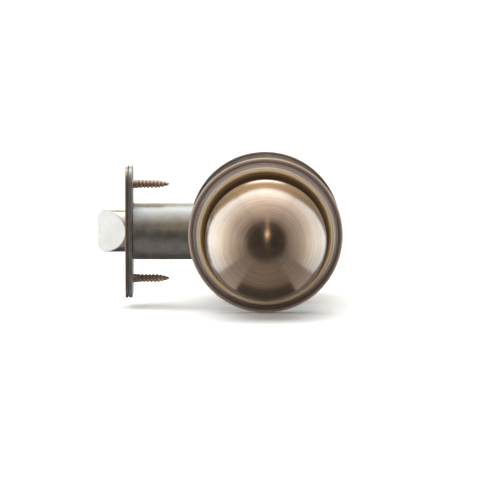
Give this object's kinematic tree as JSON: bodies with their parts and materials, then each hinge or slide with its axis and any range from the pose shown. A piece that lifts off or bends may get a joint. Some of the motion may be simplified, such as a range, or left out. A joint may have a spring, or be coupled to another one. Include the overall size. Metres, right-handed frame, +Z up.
{
  "type": "passage door knob set",
  "caption": "Round ball knobs on stepped round roses, one on each face of a door, joined through a tubular spring latch whose bevelled bolt they draw in.",
  "frame": {"origin": "on the spindle's axis, halfway through the door, at the crossing of the cross bore and the edge bore", "axes": "+X from the door's latch edge towards its hinges, so the bolt points along -X; +Y from the exterior side to the interior side, along the spindle; +Z up"},
  "size_m": [0.1068, 0.156, 0.0666],
  "materials": {
    "antique_brass": "satin brushed, aged dark in its recesses",
    "faceplate_brass": "satin, plated",
    "bright_nickel": "bright plated",
    "sintered_brass": "sintered, dull",
    "zinc_steel": "zinc plated",
    "dark_steel": "oiled steel",
    "spring_steel": "drawn wire and strip",
    "white_nylon": "moulded"
  },
  "bodies": {
    "chassis": {"exterior_rose": "antique_brass", "exterior_mounting_plate": "zinc_steel", "exterior_bushing": "white_nylon", "exterior_return_spring": "spring_steel", "upper_mounting_post": "zinc_steel", "lower_mounting_post": "zinc_steel", "interior_rose": "antique_brass", "interior_mounting_plate": "zinc_steel", "interior_bushing": "white_nylon", "interior_return_spring": "spring_steel", "upper_mounting_screw": "zinc_steel", "lower_mounting_screw": "zinc_steel", "latch_faceplate": "faceplate_brass", "latch_backplate": "zinc_steel", "upper_faceplate_screw": "faceplate_brass", "lower_faceplate_screw": "faceplate_brass", "latch_tube": "zinc_steel", "spring_stop": "zinc_steel", "exterior_latch_side": "zinc_steel", "interior_latch_side": "zinc_steel", "front_upper_rivet": "zinc_steel", "front_lower_rivet": "zinc_steel", "rear_upper_rivet": "zinc_steel", "rear_lower_rivet": "zinc_steel", "bolt_spring": "spring_steel"},
    "exterior_knob": {"exterior_knob_dome": "antique_brass", "exterior_knob_rear_shell": "antique_brass", "exterior_knob_core": "zinc_steel", "exterior_shank": "zinc_steel", "exterior_spring_driver": "dark_steel", "exterior_retaining_ring": "spring_steel", "spindle": "dark_steel"},
    "interior_knob": {"interior_knob_dome": "antique_brass", "interior_knob_rear_shell": "antique_brass", "interior_knob_core": "zinc_steel", "interior_shank": "zinc_steel", "interior_spring_driver": "dark_steel", "interior_retaining_ring": "spring_steel", "catch_spring": "spring_steel"},
    "hub": {"latch_hub": "sintered_brass"},
    "bolt": {"latch_bolt": "bright_nickel", "tail_rod": "zinc_steel", "latch_yoke": "zinc_steel"},
    "catch": {"knob_catch": "bright_nickel"}
  },
  "joints": [
    {"name": "exterior_knob_turn", "type": "hinge", "parent": "chassis", "child": "exterior_knob", "pos_m": [0, -0.02223, 0], "axis": [0, 1, 0], "range_deg": [0, 72], "stiffness_Nm_per_rad": 0.05, "springref_deg": -34.38, "deforming": ["exterior_return_spring"]},
    {"name": "interior_knob_turn", "type": "hinge", "parent": "chassis", "child": "interior_knob", "pos_m": [0, 0.02223, 0], "axis": [0, 1, 0], "range_deg": [0, 72], "stiffness_Nm_per_rad": 0.05, "springref_deg": -34.38, "deforming": ["interior_return_spring"]},
    {"name": "hub_turn", "type": "hinge", "parent": "chassis", "child": "hub", "pos_m": [0, 0, 0], "axis": [0, 1, 0], "range_deg": [0, 72]},
    {"name": "bolt_slide", "type": "slide", "parent": "chassis", "child": "bolt", "axis": [1, 0, 0], "range_m": [0, 0.0127], "stiffness_N_per_m": 500, "springref_m": -0.012, "deforming": ["bolt_spring"]},
    {"name": "knob_catch_press", "type": "slide", "parent": "interior_knob", "child": "catch", "axis": [0, 0, 1], "range_m": [0, 0.0016], "stiffness_N_per_m": 800, "springref_m": -0.001, "deforming": ["catch_spring"]}
  ],
  "couplings": [
    {"joint": "exterior_knob_turn", "follows": "bolt_slide", "rad_per_m": 98.947},
    {"joint": "interior_knob_turn", "follows": "bolt_slide", "rad_per_m": 98.947},
    {"joint": "hub_turn", "follows": "bolt_slide", "rad_per_m": 98.947}
  ]
}
